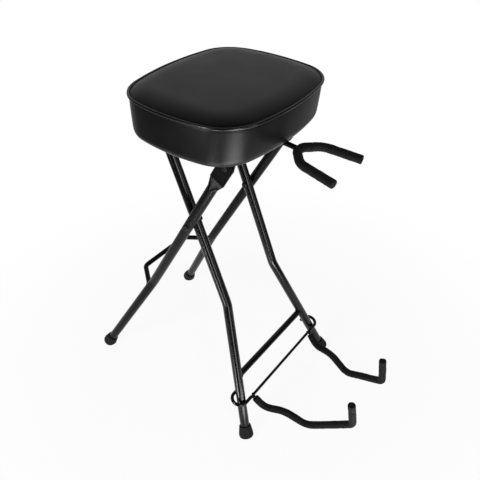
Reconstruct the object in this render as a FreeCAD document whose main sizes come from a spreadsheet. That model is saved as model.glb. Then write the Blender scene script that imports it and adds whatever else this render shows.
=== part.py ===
import FreeCAD
import Part
import Sketcher
import math
import os
from types import SimpleNamespace

from FreeCAD import Placement, Rotation, Vector

# A folding stool for guitarists: crossed tube legs, a padded seat, a footrest, a forked neck yoke and a
# cradle that hooks onto the inner legs. X runs from the footrest to the cradle, left is the -Y side.

doc = FreeCAD.newDocument("GuitarStool")
sheet = doc.addObject("Spreadsheet::Sheet", "Sizes")

# Driving sizes, in millimetres and degrees.
driving_sizes = (
    ("pivot_x", -52.24, "scissor pivot from the middle of the footprint"),
    ("pivot_height", 441, "scissor pivot above the floor"),
    ("outer_lean", 29.6, "outer legs from the vertical"),
    ("inner_lean", 21.5, "inner legs from the vertical"),
    ("tube_diameter", 19, "leg tube"),
    ("tube_wall", 1.2, "leg and brace tube wall"),
    ("outer_spacing", 98.5, "outer leg axes from the middle plane"),
    ("leg_gap", 1, "room between outer and inner tubes at the pivot"),
    ("outer_bend", 229, "pivot to the splay bend of an outer leg"),
    ("outer_foot", 147, "outer legs from the middle plane at the floor"),
    ("inner_bend", 188, "pivot to the splay bend of an inner leg"),
    ("inner_foot", 152.5, "inner legs from the middle plane at the floor"),
    ("leg_bend_radius", 60, "axis radius of the splay bends"),
    ("hoop_corner_radius", 32, "axis radius of the inner hoop's upper corners"),
    ("blade_thickness", 3.2, "pressed upper end of an outer leg"),
    ("blade_width", 30, "pressed upper end across"),
    ("crease_length", 17, "round tube to pressed blade"),
    ("blade_length", 36, "start of the blade to the hinge pin"),
    ("rivet_diameter", 6, "scissor rivet shank"),
    ("rivet_head", 12, "scissor rivet head diameter"),
    ("head_height", 2.6, "rivet and pin heads"),
    ("head_round", 1.8, "rounded edge of the rivet and pin heads"),
    ("washer_diameter", 14, "spacing washer"),
    ("running_fit", 0.05, "radial play of a pin in its hole"),
    ("clearance", 0.3, "play between pieces that move past each other"),
    ("brace_diameter", 13, "tube between the inner legs"),
    ("brace_height", 124.5, "brace axis above the floor"),
    ("cap_mouth", 24, "foot cap diameter at its mouth"),
    ("cap_base", 30, "foot cap diameter near the floor"),
    ("cap_length", 27, "foot cap along the leg"),
    ("cap_sole", 9, "rubber under the tube end"),
    ("cap_round", 5, "rounded edge of the foot cap's base"),
    ("footrest_diameter", 10.5, "footrest rod"),
    ("footrest_height", 228, "footrest bar above the floor"),
    ("footrest_reach", 54, "footrest bar out from the leg axes"),
    ("footrest_half", 64, "footrest corners from the middle plane"),
    ("footrest_flare", 6, "footrest aims outside the straight leg axes"),
    ("footrest_tilt", 4, "fall of the footrest towards the legs"),
    ("footrest_bend", 16, "axis radius of the footrest corners"),
    ("seat_height", 680, "welt above the floor"),
    ("side_height", 66.5, "seat underside to welt"),
    ("seat_length", 266, "seat pad along X"),
    ("seat_width", 299, "seat pad along Y"),
    ("pin_inset", 62.268, "hinge pins in from the seat's front edge"),
    ("end_arc", 420, "radius of the seat's front and back edges"),
    ("side_arc", 380, "radius of the seat's side edges"),
    ("corner_arc", 72, "radius of the seat's corners"),
    ("crown", 8, "rise of the seat top above the welt"),
    ("seam_inset", 1.5, "side drawn in at the welt seam"),
    ("end_taper", 9, "front and back drawn in towards the underside"),
    ("edge_roll", 6, "side drawn in at the lower edge"),
    ("roll_height", 11, "height of the rolled lower edge"),
    ("vinyl", 1, "cover thickness"),
    ("hem", 12, "cover turned in under the board"),
    ("welt_diameter", 5.2, "piped welt"),
    ("board_thickness", 12, "plywood seat board"),
    ("pin_drop", 21, "hinge pins below the board"),
    ("pin_diameter", 6, "hinge pin shank"),
    ("pin_head", 11, "hinge pin head diameter"),
    ("plate", 2.5, "hinge bracket thickness"),
    ("bracket_half", 20, "half length of a hinge bracket"),
    ("flange_width", 30, "hinge bracket flange across"),
    ("ear_radius", 12, "hinge bracket round its pin"),
    ("strip", 2, "bar catch and yoke clip thickness"),
    ("catch_width", 24, "bar catch along the bar"),
    ("catch_y", 30, "bar catches from the middle plane"),
    ("catch_tab", 34, "bar catch tab from the bar's axis"),
    ("catch_wrap", 100, "how far a catch curls round the bar"),
    ("stem_diameter", 9, "neck yoke stem"),
    ("stem_length", 139, "stem from its tail to the fork"),
    ("stem_droop", 5.5, "fall of the yoke beyond the seat"),
    ("droop_start", 25, "fork to the start of the fall"),
    ("yoke_gap", 11, "seat edge to the fork"),
    ("fork_diameter", 8, "forked rod"),
    ("fork_nose", 8, "half width of the fork's root"),
    ("shoulder_reach", 23, "fork root to its shoulders"),
    ("shoulder_half", 34.5, "shoulders from the middle plane"),
    ("prong_reach", 89, "fork root to the prong ends"),
    ("prong_half", 45, "prong ends from the middle plane"),
    ("fork_bend", 14, "axis radius of the fork's bends"),
    ("yoke_sleeve", 14.8, "foam sleeve on a prong"),
    ("sleeve_start", 0.3, "share of the fork's root left bare"),
    ("clip_width", 16, "yoke clip along the stem"),
    ("clip_half", 18, "yoke clip half across"),
    ("hook_height", 74.8, "leg axis height where the cradle hooks on"),
    ("arm_rod", 7, "cradle hook and arm rod"),
    ("cross_rod", 6, "rod between the cradle arms"),
    ("hook_angle", 58, "plane of a hook from the leg"),
    ("hook_gap", 6, "room outside the leg in a hook"),
    ("hook_tail", 9, "hook tail behind the leg"),
    ("arm_root", 109.5, "cradle arms from the middle plane at the legs"),
    ("arm_toe_in", 12.9, "cradle arms turned inwards"),
    ("dip_reach", 27, "first dip from the hook rod"),
    ("dip_drop", 25, "first dip below the hook rod"),
    ("crest_reach", 70, "crest from the hook rod"),
    ("crest_drop", 13, "crest below the hook rod"),
    ("bow_reach", 117, "guitar's resting place from the hook rod"),
    ("bow_drop", 32, "guitar's resting place below the hook rod"),
    ("corner_reach", 203, "upturn from the hook rod"),
    ("corner_rise", 27, "upturn above the hook rod"),
    ("tip_reach", 195, "arm tip from the hook rod"),
    ("tip_rise", 76, "arm tip above the hook rod"),
    ("root_bend", 9, "axis radius where an arm leaves its hook"),
    ("arm_bend", 15, "axis radius of the arm bends"),
    ("tip_bend", 11, "axis radius of the upturn"),
    ("crest_bend", 40, "axis radius of the crest"),
    ("arm_sleeve", 15.4, "foam sleeve on a cradle arm"),
    ("screw_diameter", 4, "wood screws under the seat"),
    ("screw_head", 8, "wood screw heads"),
    ("screw_dome", 2, "height of the wood screw heads"),
    ("screw_margin", 8, "screws in from the ends of what they hold"),
    ("screw_bite", 8, "wood screws into the board"),
)
for row, (alias, value, note) in enumerate(driving_sizes, start=1):
    sheet.set(f"A{row}", note)
    sheet.set(f"B{row}", str(value))
    sheet.setAlias(f"B{row}", alias)
doc.recompute()


class Size:
    # A number together with the expression that it comes from.
    def __init__(self, value, text):
        self.value = float(value)
        self.text = text

    def __float__(self):
        return self.value

    def __neg__(self):
        return Size(-self.value, f"(0 - {self.text})")

    def __add__(self, other):
        other = as_size(other)
        return Size(self.value + other.value, f"({self.text} + {other.text})")

    def __sub__(self, other):
        return self + -as_size(other)

    def __mul__(self, other):
        other = as_size(other)
        return Size(self.value * other.value, f"({self.text} * {other.text})")

    def __truediv__(self, other):
        other = as_size(other)
        return Size(self.value / other.value, f"({self.text} / {other.text})")

    __radd__ = __add__
    __rmul__ = __mul__


def as_size(number):
    if isinstance(number, Size):
        return number
    return Size(number, f"({number})")


def sine(angle):
    return Size(math.sin(math.radians(angle.value)), f"sin({angle.text})")


def cosine(angle):
    return Size(math.cos(math.radians(angle.value)), f"cos({angle.text})")


def tangent(angle):
    return Size(math.tan(math.radians(angle.value)), f"tan({angle.text})")


def slope_angle(rise):
    return Size(math.degrees(math.atan(rise.value)), f"atan({rise.text})")


def bind(target, name, amount):
    target.setExpression(name, as_size(amount).text)


dims = SimpleNamespace(**{alias: Size(getattr(sheet, alias), f"Sizes.{alias}")
                          for alias, value, note in driving_sizes})

# Sizes that follow from the driving ones.
tube_radius = dims.tube_diameter / 2
inner_spacing = dims.outer_spacing - dims.tube_diameter - dims.leg_gap
underside = dims.seat_height - dims.side_height
board_bottom = underside + dims.vinyl
bar_height = board_bottom - dims.strip - dims.clearance - tube_radius
bar_reach = (bar_height - dims.pivot_height) / cosine(dims.inner_lean)
bar_x = dims.pivot_x - bar_reach * sine(dims.inner_lean)
pin_height = board_bottom - dims.pin_drop
pin_reach = (pin_height - dims.pivot_height) / cosine(dims.outer_lean)
pin_x = dims.pivot_x + pin_reach * sine(dims.outer_lean)
ear_outer = dims.outer_spacing - dims.blade_thickness / 2 - dims.clearance
ear_inner = ear_outer - dims.plate
seat_middle = pin_x + dims.pin_inset - dims.seat_length / 2
fork_x = seat_middle + dims.seat_length / 2 + dims.yoke_gap
stem_height = underside - dims.stem_diameter / 2
fork_height = stem_height - dims.droop_start * tangent(dims.stem_droop)
catch_radius = tube_radius + dims.clearance


def splay_of(foot, spacing, lean, bend):
    return slope_angle((foot - spacing) / (dims.pivot_height / cosine(lean) - bend))


outer_splay = splay_of(dims.outer_foot, dims.outer_spacing, dims.outer_lean, dims.outer_bend)
inner_splay = splay_of(dims.inner_foot, inner_spacing, dims.inner_lean, dims.inner_bend)


def origin_plane(body, role):
    return [feature for feature in body.Origin.OriginFeatures if feature.Role == role][0]


def new_sketch(body, name, role, offset=None):
    sketch = body.newObject("Sketcher::SketchObject", name)
    sketch.AttachmentSupport = (origin_plane(body, role), [""])
    sketch.MapMode = "FlatFace"
    if offset is not None:
        bind(sketch, "AttachmentOffset.Base.z", offset)
    return sketch


def constrain(sketch, *settings):
    return sketch.addConstraint(Sketcher.Constraint(*settings))


def constrain_size(sketch, amount, *settings):
    index = constrain(sketch, *settings, float(amount))
    bind(sketch, f"Constraints[{index}]", amount)


def fix_point(sketch, shape, end, place):
    for name, axis, amount in zip(("DistanceX", "DistanceY"), (-2, -1), place):
        if float(amount) == 0:
            constrain(sketch, "PointOnObject", shape, end, axis)
        else:
            constrain_size(sketch, amount, name, -1, 1, shape, end)


def add_circle(sketch, radius, centre=(0, 0)):
    middle = Vector(float(centre[0]), float(centre[1]), 0)
    shape = sketch.addGeometry(Part.Circle(middle, Vector(0, 0, 1), float(radius)))
    fix_point(sketch, shape, 3, centre)
    constrain_size(sketch, radius, "Radius", shape)


def corner_arc_of(points, index, radius):
    corner = points[index]
    back = (points[index - 1] - corner).normalize()
    ahead = (points[(index + 1) % len(points)] - corner).normalize()
    half_angle = back.getAngle(ahead) / 2
    setback = radius / math.tan(half_angle)
    inward = (back + ahead).normalize()
    centre = corner + inward * (radius / math.sin(half_angle))
    return corner + back * setback, centre - inward * radius, corner + ahead * setback, centre


def add_outline(sketch, corners, radii, closed):
    # Straight runs through the corners, with a tangent arc at each corner that has a radius.
    points = [Vector(float(across), float(along), 0) for across, along in corners]
    count = len(points)
    arcs = {index: corner_arc_of(points, index, float(radius)) for index, radius in radii.items()}
    lines = {}
    bends = {}
    for index in range(count if closed else count - 1):
        follower = (index + 1) % count
        start = arcs[index][2] if index in arcs else points[index]
        end = arcs[follower][0] if follower in arcs else points[follower]
        lines[index] = sketch.addGeometry(Part.LineSegment(start, end))
        if follower in arcs:
            first, middle, last, centre = arcs[follower]
            turns_left = (first - centre).cross(last - centre).z > 0
            ends = (first, last) if turns_left else (last, first)
            angles = [math.atan2(point.y - centre.y, point.x - centre.x) for point in ends]
            circle = Part.Circle(centre, Vector(0, 0, 1), float(radii[follower]))
            bends[follower] = (sketch.addGeometry(Part.ArcOfCircle(circle, *angles)), turns_left)
    for index in range(count):
        before = lines.get((index - 1) % count if closed else index - 1)
        after = lines.get(index)
        if index in bends:
            bend, turns_left = bends[index]
            corner = sketch.addGeometry(Part.Point(points[index]), True)
            fix_point(sketch, corner, 1, corners[index])
            constrain(sketch, "PointOnObject", corner, 1, before)
            constrain(sketch, "PointOnObject", corner, 1, after)
            constrain(sketch, "Tangent", before, 2, bend, 1 if turns_left else 2)
            constrain(sketch, "Tangent", bend, 2 if turns_left else 1, after, 1)
            constrain_size(sketch, radii[index], "Radius", bend)
        elif before is None:
            fix_point(sketch, after, 1, corners[index])
        else:
            fix_point(sketch, before, 2, corners[index])
            if after is not None:
                constrain(sketch, "Coincident", before, 2, after, 1)


def set_base(item, base):
    for axis, amount in zip("xyz", base):
        bind(item, f"Placement.Base.{axis}", amount)


def new_body(label, base=(0, 0, 0), turn=None):
    body = doc.addObject("PartDesign::Body", label)
    body.Label = label
    if turn is not None:
        body.Placement = Placement(Vector(0, 0, 0), Rotation(Vector(0, 1, 0), 1))
        bind(body, "Placement.Rotation.Angle", turn)
    set_base(body, base)
    return body


def add_pipe(body, role, corners, radii, outer, bore=None):
    path = new_sketch(body, body.Name + "_path", role)
    add_outline(path, corners, radii, False)
    doc.recompute()
    profile = body.newObject("Sketcher::SketchObject", body.Name + "_section")
    profile.AttachmentSupport = [(path, "Edge1")]
    profile.MapMode = "NormalToEdge"
    add_circle(profile, outer / 2)
    if bore is not None:
        add_circle(profile, bore / 2)
    pipe = body.newObject("PartDesign::AdditivePipe", body.Name + "_pipe")
    pipe.Profile = profile
    pipe.Spine = (path, [f"Edge{number}" for number in range(1, len(path.Shape.Edges) + 1)])
    doc.recompute()
    return pipe


def add_pad(body, sketch, length, symmetric=False, reverse=False):
    pad = body.newObject("PartDesign::Pad", sketch.Name + "_pad")
    pad.Profile = sketch
    bind(pad, "Length", length)
    pad.Midplane = symmetric
    pad.Reversed = reverse
    doc.recompute()
    return pad


def drill(body, sketch):
    pocket = body.newObject("PartDesign::Pocket", sketch.Name + "_pocket")
    pocket.Profile = sketch
    pocket.Type = "ThroughAll"
    pocket.Midplane = True
    doc.recompute()


def add_cross_hole(body, name, radius, centre=(0, 0)):
    # A hole through the whole body along Y.
    sketch = new_sketch(body, name, "XZ_Plane")
    add_circle(sketch, radius, centre)
    drill(body, sketch)


def add_revolved(body, corners, radii):
    # The corners give radius and height in the XZ plane, turned about Z.
    sketch = new_sketch(body, body.Name + "_profile", "XZ_Plane")
    add_outline(sketch, corners, radii, True)
    turned = body.newObject("PartDesign::Revolution", body.Name + "_turned")
    turned.Profile = sketch
    turned.ReferenceAxis = (sketch, ["V_Axis"])
    turned.Angle = 360
    doc.recompute()


def mirrored(source, label):
    twin = doc.addObject("Part::Mirroring", label)
    twin.Label = label
    twin.Source = source
    twin.Normal = Vector(0, 1, 0)
    doc.recompute()
    return twin


def cut_away(base, tools, label):
    result = base
    for number, tool in enumerate(tools):
        cut = doc.addObject("Part::Cut", f"{label}_cut{number}")
        cut.Base = result
        cut.Tool = tool
        result = cut
    result.Label = label
    doc.recompute()
    return result


def grouped(label, members):
    group = doc.addObject("Part::Compound", label)
    group.Label = label
    group.Links = members
    doc.recompute()
    return group


def shaped(label, shape):
    feature = doc.addObject("Part::Feature", label)
    feature.Label = label
    feature.Shape = shape
    feature.Placement = Placement()
    return feature


# Leg tubes. Each frame is flat and leans about the pivot, so it is drawn upright and turned.
def leg_end(foot, lean, splay):
    floor = -(dims.pivot_height / cosine(lean))
    return foot - dims.cap_sole * sine(splay), floor + dims.cap_sole * cosine(splay)


pivot_base = (dims.pivot_x, 0, dims.pivot_height)
tube_bore = dims.tube_diameter - 2 * dims.tube_wall
blade_start = pin_reach - dims.blade_length
crease_start = blade_start - dims.crease_length
outer_end = leg_end(dims.outer_foot, dims.outer_lean, outer_splay)
inner_end = leg_end(dims.inner_foot, dims.inner_lean, inner_splay)
outer_path = ((-dims.outer_spacing, crease_start), (-dims.outer_spacing, -dims.outer_bend),
              (-outer_end[0], outer_end[1]))
inner_path = ((-inner_end[0], inner_end[1]), (-inner_spacing, -dims.inner_bend), (-inner_spacing, bar_reach),
              (inner_spacing, bar_reach), (inner_spacing, -dims.inner_bend), inner_end)
inner_bends = {1: dims.leg_bend_radius, 2: dims.hoop_corner_radius, 3: dims.hoop_corner_radius,
               4: dims.leg_bend_radius}


def add_crease(body):
    # The round tube is pressed flat: a circle in four arcs runs into the blade's section.
    middle = -float(dims.outer_spacing)
    radius = float(tube_radius)
    half_width = float(dims.blade_width) / 2
    half_thick = float(dims.blade_thickness) / 2
    bulge = half_thick / 2
    round_section = new_sketch(body, "crease_round", "XY_Plane", crease_start)
    flat_section = new_sketch(body, "crease_flat", "XY_Plane", blade_start)
    circle = Part.Circle(Vector(0, middle, 0), Vector(0, 0, 1), radius)
    for quarter in range(4):
        start = math.radians(90 * quarter - 45)
        round_section.addGeometry(Part.ArcOfCircle(circle, start, start + math.radians(90)))
    corners = [Vector(x, middle + y, 0) for x, y in (
        (half_width - bulge, -half_thick), (half_width - bulge, half_thick),
        (bulge - half_width, half_thick), (bulge - half_width, -half_thick))]
    flat_section.addGeometry(Part.Arc(corners[0], Vector(half_width, middle, 0), corners[1]))
    flat_section.addGeometry(Part.LineSegment(corners[1], corners[2]))
    flat_section.addGeometry(Part.Arc(corners[2], Vector(-half_width, middle, 0), corners[3]))
    flat_section.addGeometry(Part.LineSegment(corners[3], corners[0]))
    for sketch in (round_section, flat_section):
        for edge in range(4):
            constrain(sketch, "Block", edge)
    loft = body.newObject("PartDesign::AdditiveLoft", "crease")
    loft.Profile = round_section
    loft.Sections = [flat_section]
    doc.recompute()


def add_blade(body):
    sketch = new_sketch(body, "blade", "XZ_Plane", dims.outer_spacing)
    half = dims.blade_width / 2
    end = pin_reach + half
    add_outline(sketch, ((-half, blade_start), (half, blade_start), (half, end), (-half, end)),
                {2: half - dims.tube_wall, 3: half - dims.tube_wall}, True)
    add_pad(body, sketch, dims.blade_thickness, symmetric=True)
    add_cross_hole(body, "pin_hole", dims.pin_diameter / 2 + dims.running_fit, (0, pin_reach))


def make_outer_leg(label):
    body = new_body(label, pivot_base, dims.outer_lean)
    add_pipe(body, "YZ_Plane", outer_path, {1: dims.leg_bend_radius}, dims.tube_diameter, tube_bore)
    add_crease(body)
    add_blade(body)
    add_cross_hole(body, "rivet_hole", dims.rivet_diameter / 2)
    return body


outer_leg_left = make_outer_leg("outer_leg_left")
outer_leg_right = mirrored(outer_leg_left, "outer_leg_right")
inner_leg_hoop = new_body("inner_leg_hoop", pivot_base, -dims.inner_lean)
add_pipe(inner_leg_hoop, "YZ_Plane", inner_path, inner_bends, dims.tube_diameter, tube_bore)
add_cross_hole(inner_leg_hoop, "hoop_holes", dims.rivet_diameter / 2 + dims.running_fit)

# Solid copies of the tubes, which the welded rods are coped to.
outer_core_left = new_body("outer_core_left", pivot_base, dims.outer_lean)
add_pipe(outer_core_left, "YZ_Plane", outer_path, {1: dims.leg_bend_radius}, dims.tube_diameter)
outer_core_right = mirrored(outer_core_left, "outer_core_right")
inner_core = new_body("inner_core", pivot_base, -dims.inner_lean)
add_pipe(inner_core, "YZ_Plane", inner_path, inner_bends, dims.tube_diameter)


# Scissor joints: a rivet through each pair of legs, with a washer between them.
def headed_pin(label, radius, head_radius, head, tail, base):
    # The pin's axis is local Z, laid along -Y, with a domed head at each end.
    body = doc.addObject("PartDesign::Body", label)
    body.Label = label
    corners = ((0, head - dims.head_height), (head_radius, head - dims.head_height), (head_radius, head),
               (radius, head), (radius, tail), (head_radius, tail), (head_radius, tail + dims.head_height),
               (0, tail + dims.head_height))
    add_revolved(body, corners, {1: dims.head_round, 6: dims.head_round})
    body.Placement = Placement(Vector(0, 0, 0), Rotation(Vector(1, 0, 0), 90))
    set_base(body, base)
    return body


rivet_left = headed_pin("rivet_left", dims.rivet_diameter / 2, dims.rivet_head / 2,
                        inner_spacing - tube_radius - dims.clearance, dims.outer_spacing + tube_radius,
                        pivot_base)
scissor_rivets = grouped("scissor_rivets", [rivet_left, mirrored(rivet_left, "rivet_right")])

washer_left = new_body("washer_left", pivot_base)
washer_sketch = new_sketch(washer_left, "washer_ring", "XZ_Plane",
                           dims.outer_spacing - tube_radius - (dims.leg_gap - dims.clearance))
add_circle(washer_sketch, dims.washer_diameter / 2)
add_circle(washer_sketch, dims.rivet_diameter / 2)
add_pad(washer_left, washer_sketch, dims.leg_gap - dims.clearance)
scissor_washers = grouped("scissor_washers", [washer_left, mirrored(washer_left, "washer_right")])

# The brace runs between the inner legs, and its ends are coped to their tubes.
brace_drop = (dims.pivot_height - dims.brace_height) / cosine(dims.inner_lean)
brace_half = inner_spacing + (brace_drop - dims.inner_bend) * tangent(inner_splay)
brace_blank = new_body("brace_blank", pivot_base, -dims.inner_lean)
add_pipe(brace_blank, "YZ_Plane", ((-brace_half, -brace_drop), (brace_half, -brace_drop)), {},
         dims.brace_diameter, dims.brace_diameter - 2 * dims.tube_wall)
inner_brace = cut_away(brace_blank, [inner_core], "inner_brace")

# The footrest is one bent rod, welded to the back of the outer legs and ending inside their outlines.
leg_run = tangent(dims.outer_lean)
footrest_x = dims.pivot_x - (dims.pivot_height - dims.footrest_height) * leg_run - dims.footrest_reach
footrest_depth = dims.footrest_reach / (cosine(dims.footrest_tilt) + leg_run * sine(dims.footrest_tilt))
footrest_sink = tube_radius / 2
footrest_widen = (dims.outer_spacing + dims.footrest_flare - dims.footrest_half) / footrest_depth
footrest_end = (footrest_depth - footrest_sink,
                dims.footrest_half + (footrest_depth - footrest_sink) * footrest_widen)
footrest_blank = new_body("footrest_blank", (footrest_x, 0, dims.footrest_height), dims.footrest_tilt)
add_pipe(footrest_blank, "XY_Plane",
         ((footrest_end[0], -footrest_end[1]), (0, -dims.footrest_half), (0, dims.footrest_half),
          footrest_end),
         {1: dims.footrest_bend, 2: dims.footrest_bend}, dims.footrest_diameter)
footrest_bar = cut_away(footrest_blank, [outer_core_left, outer_core_right], "footrest_bar")

# Rubber foot caps, square to their legs and cut level with the floor.
floor_reach = dims.seat_height + dims.outer_foot
floor_block = doc.addObject("Part::Box", "floor_block")
bind(floor_block, "Length", 2 * floor_reach)
bind(floor_block, "Width", 2 * floor_reach)
bind(floor_block, "Height", dims.cap_base)
set_base(floor_block, (-floor_reach, -floor_reach, -dims.cap_base))


def make_foot(label, lean, splay, foot):
    body = doc.addObject("PartDesign::Body", label + "_blank")
    mouth = dims.cap_mouth / 2
    base = dims.cap_base / 2
    add_revolved(body, ((0, 0), (base, 0), (base, dims.cap_sole), (mouth, dims.cap_length),
                        (tube_radius, dims.cap_length), (tube_radius, dims.cap_sole), (0, dims.cap_sole)),
                 {1: dims.cap_round, 3: (mouth - tube_radius) / 2})
    reach = -float(dims.pivot_height / cosine(lean))
    pivot = Vector(*[float(amount) for amount in pivot_base])
    frame = Placement(pivot, Rotation(Vector(0, 1, 0), float(lean)))
    turn = Placement(Vector(0, -float(foot), reach), Rotation(Vector(1, 0, 0), -float(splay)))
    body.Placement = frame.multiply(turn)
    return cut_away(body, [floor_block], label)


outer_foot_left = make_foot("outer_foot_left", dims.outer_lean, outer_splay, dims.outer_foot)
outer_foot_right = mirrored(outer_foot_left, "outer_foot_right")
inner_foot_left = make_foot("inner_foot_left", -dims.inner_lean, inner_splay, dims.inner_foot)
inner_foot_right = mirrored(inner_foot_left, "inner_foot_right")


# Seat pad. Every level of it is the same outline of eight arcs, drawn in or shrunk.
def arc_meeting(end_x, side_y):
    # The corner arcs' centre, where the end and side arcs' inner circles cross.
    end_reach = float(dims.end_arc - dims.corner_arc)
    side_reach = float(dims.side_arc - dims.corner_arc)
    span = math.hypot(end_x, side_y)
    along = (end_reach ** 2 - side_reach ** 2 + span ** 2) / (2 * span)
    away = math.sqrt(end_reach ** 2 - along ** 2)
    direction = Vector(-end_x, side_y, 0) / span
    return Vector(end_x, 0, 0) + direction * along + Vector(-direction.y, direction.x, 0) * away


def seat_outline(inset, height, shrink=1.0, taper=0.0):
    half_length = float(dims.seat_length) / 2 - taper
    half_width = float(dims.seat_width) / 2
    end_centre = Vector(half_length - float(dims.end_arc), 0, 0)
    side_centre = Vector(0, half_width - float(dims.side_arc), 0)
    corner_centre = arc_meeting(end_centre.x, side_centre.y)
    end_way = (corner_centre - end_centre).normalize()
    side_way = (corner_centre - side_centre).normalize()
    end_point = end_centre + end_way * (float(dims.end_arc) - inset)
    side_point = side_centre + side_way * (float(dims.side_arc) - inset)
    corner_way = (end_way + side_way).normalize()
    corner_point = corner_centre + corner_way * (float(dims.corner_arc) - inset)
    end_top = Vector(half_length - inset, 0, 0)
    side_top = Vector(0, half_width - inset, 0)

    def placed(point, x_sign, y_sign):
        return Vector(float(seat_middle) + shrink * x_sign * point.x, shrink * y_sign * point.y, height)

    edges = []
    for x_sign, y_sign in ((1, 1), (-1, -1)):
        through = ((placed(end_point, x_sign, -y_sign), placed(end_top, x_sign, 1),
                    placed(end_point, x_sign, y_sign)),
                   (placed(end_point, x_sign, y_sign), placed(corner_point, x_sign, y_sign),
                    placed(side_point, x_sign, y_sign)),
                   (placed(side_point, x_sign, y_sign), placed(side_top, 1, y_sign),
                    placed(side_point, -x_sign, y_sign)),
                   (placed(side_point, -x_sign, y_sign), placed(corner_point, -x_sign, y_sign),
                    placed(end_point, -x_sign, y_sign)))
        edges += [Part.Arc(*points).toShape() for points in through]
    return Part.Wire(edges)


seam_height = float(dims.seat_height)
# Heights of the side's levels, as shares of the side, closest together in the rolled lower edge.
side_levels = (0, 0.04, 0.1, 0.18, 0.29, 0.44, 0.61, 0.8, 1)


def side_solid(inset, bottom, top):
    # From the hem up over the rolled edge to the fullest line and in again at the seam.
    roll_height = float(dims.roll_height)
    levels = []
    for share in side_levels:
        rise = share * (top - bottom)
        below = max(0, 1 - rise / roll_height)
        above = max(0, (rise - roll_height) / (top - bottom - roll_height))
        rolled = float(dims.edge_roll) * (1 - math.sqrt(1 - below ** 2))
        drawn_in = inset + rolled + float(dims.seam_inset) * above ** 2
        levels.append(seat_outline(drawn_in, bottom + rise, taper=float(dims.end_taper) * (1 - share)))
    return Part.makeLoft(levels, True)


# The crown rises from the seam to a flat middle, in even steps.
crown_flat = 0.4
crown_steps = 5
crown_power = 2.5


def crown_solid(inset, bottom):
    levels = []
    for step in range(crown_steps + 1):
        share = 1 - step / crown_steps
        rise = float(dims.crown) * (1 - share ** crown_power)
        levels.append(seat_outline(inset, bottom + rise, crown_flat + (1 - crown_flat) * share))
    return Part.makeLoft(levels, True)


vinyl = float(dims.vinyl)
seam_inset = float(dims.seam_inset)
cover = side_solid(0, float(underside), seam_height)
filling = side_solid(vinyl, float(board_bottom), seam_height - vinyl)
crown_cover = crown_solid(seam_inset, seam_height)
crown_filling = crown_solid(seam_inset + vinyl, seam_height - vinyl)
slab_side = float(dims.seat_width + dims.seat_length)
slab_corner = Vector(float(seat_middle) - slab_side / 2, -slab_side / 2, float(board_bottom))
board_slab = Part.makeBox(slab_side, slab_side, float(dims.board_thickness), slab_corner)
hem_window = Part.Face(seat_outline(float(dims.edge_roll + dims.hem), float(underside) - vinyl,
                                    taper=float(dims.end_taper)))
hem_hole = hem_window.extrude(Vector(0, 0, 3 * vinyl))

# Wood screws under the board: x, y and the thickness of what each holds.
bracket_screw_x = dims.bracket_half - dims.screw_margin
bracket_screw_y = ear_outer - dims.flange_width / 2
catch_screw_x = bar_x + dims.catch_tab - dims.screw_margin
catch_screw_y = dims.catch_width / 4
clip_screw_y = (dims.clip_half + dims.stem_diameter / 2 + dims.strip) / 2
clip_places = (fork_x - dims.stem_length + dims.clip_width,
               fork_x - dims.droop_start - dims.hem - dims.clip_width)
screw_places = []
for side in (-1, 1):
    for end in (-1, 1):
        screw_places.append((pin_x + end * bracket_screw_x, side * bracket_screw_y, dims.plate))
        screw_places.append((catch_screw_x, side * (dims.catch_y + end * catch_screw_y), dims.strip))
    for clip_x in clip_places:
        screw_places.append((clip_x, side * clip_screw_y, dims.strip))


def make_screw(label, x, y, held):
    # Upright, with its domed head under what it holds.
    body = new_body(label, (x, y, board_bottom - held))
    head = dims.screw_head / 2
    shank = dims.screw_diameter / 2
    length = held + dims.screw_bite
    add_revolved(body, ((0, -dims.screw_dome), (head, -dims.screw_dome), (head, 0), (shank, 0),
                        (shank, length), (0, length)),
                 {1: dims.screw_dome - dims.clearance})
    return body


screws = [make_screw(f"screw_{number}", *place) for number, place in enumerate(screw_places)]
screw_solids = Part.makeCompound([screw.Shape for screw in screws])
seat_screws = grouped("seat_screws", screws)
seat_board = shaped("seat_board", filling.common(board_slab).cut(screw_solids))
seat_foam = shaped("seat_foam", filling.cut(board_slab).fuse(crown_filling).removeSplitter())
seat_side_band = shaped("seat_side_band", cover.cut(filling).cut(crown_filling).cut(hem_hole))
seat_top_panel = shaped("seat_top_panel", crown_cover.cut(crown_filling))


def make_welt():
    radius = float(dims.welt_diameter) / 2
    path = seat_outline(seam_inset - radius / 2, seam_height)
    start = path.Edges[0].Vertexes[0].Point
    heading = path.Edges[0].tangentAt(path.Edges[0].FirstParameter)
    section = Part.Wire([Part.makeCircle(radius, start, heading)])
    bead = path.makePipeShell([section], True, False)
    return bead.cut(cover).cut(crown_cover).cut(crown_filling)


seat_welt = shaped("seat_welt", make_welt())


# Hinge between the blades and the board: bracket and pin on each side.
def make_bracket(label):
    body = new_body(label, (pin_x, 0, pin_height))
    flange = new_sketch(body, "flange", "XY_Plane", dims.pin_drop - dims.plate)
    inner_edge = dims.flange_width - ear_outer
    half = dims.bracket_half
    add_outline(flange, ((-half, -ear_outer), (half, -ear_outer), (half, inner_edge), (-half, inner_edge)),
                {2: dims.ear_radius / 2, 3: dims.ear_radius / 2}, True)
    for end in (-1, 1):
        add_circle(flange, dims.screw_diameter / 2, (end * bracket_screw_x, -bracket_screw_y))
    add_pad(body, flange, dims.plate)
    ear = new_sketch(body, "ear", "XZ_Plane", ear_inner)
    top = dims.pin_drop - dims.plate
    radius = dims.ear_radius
    add_outline(ear, ((-half, top), (-radius, -radius), (radius, -radius), (half, top)),
                {1: radius - dims.plate, 2: radius - dims.plate}, True)
    add_circle(ear, dims.pin_diameter / 2)
    add_pad(body, ear, dims.plate)
    return body


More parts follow.
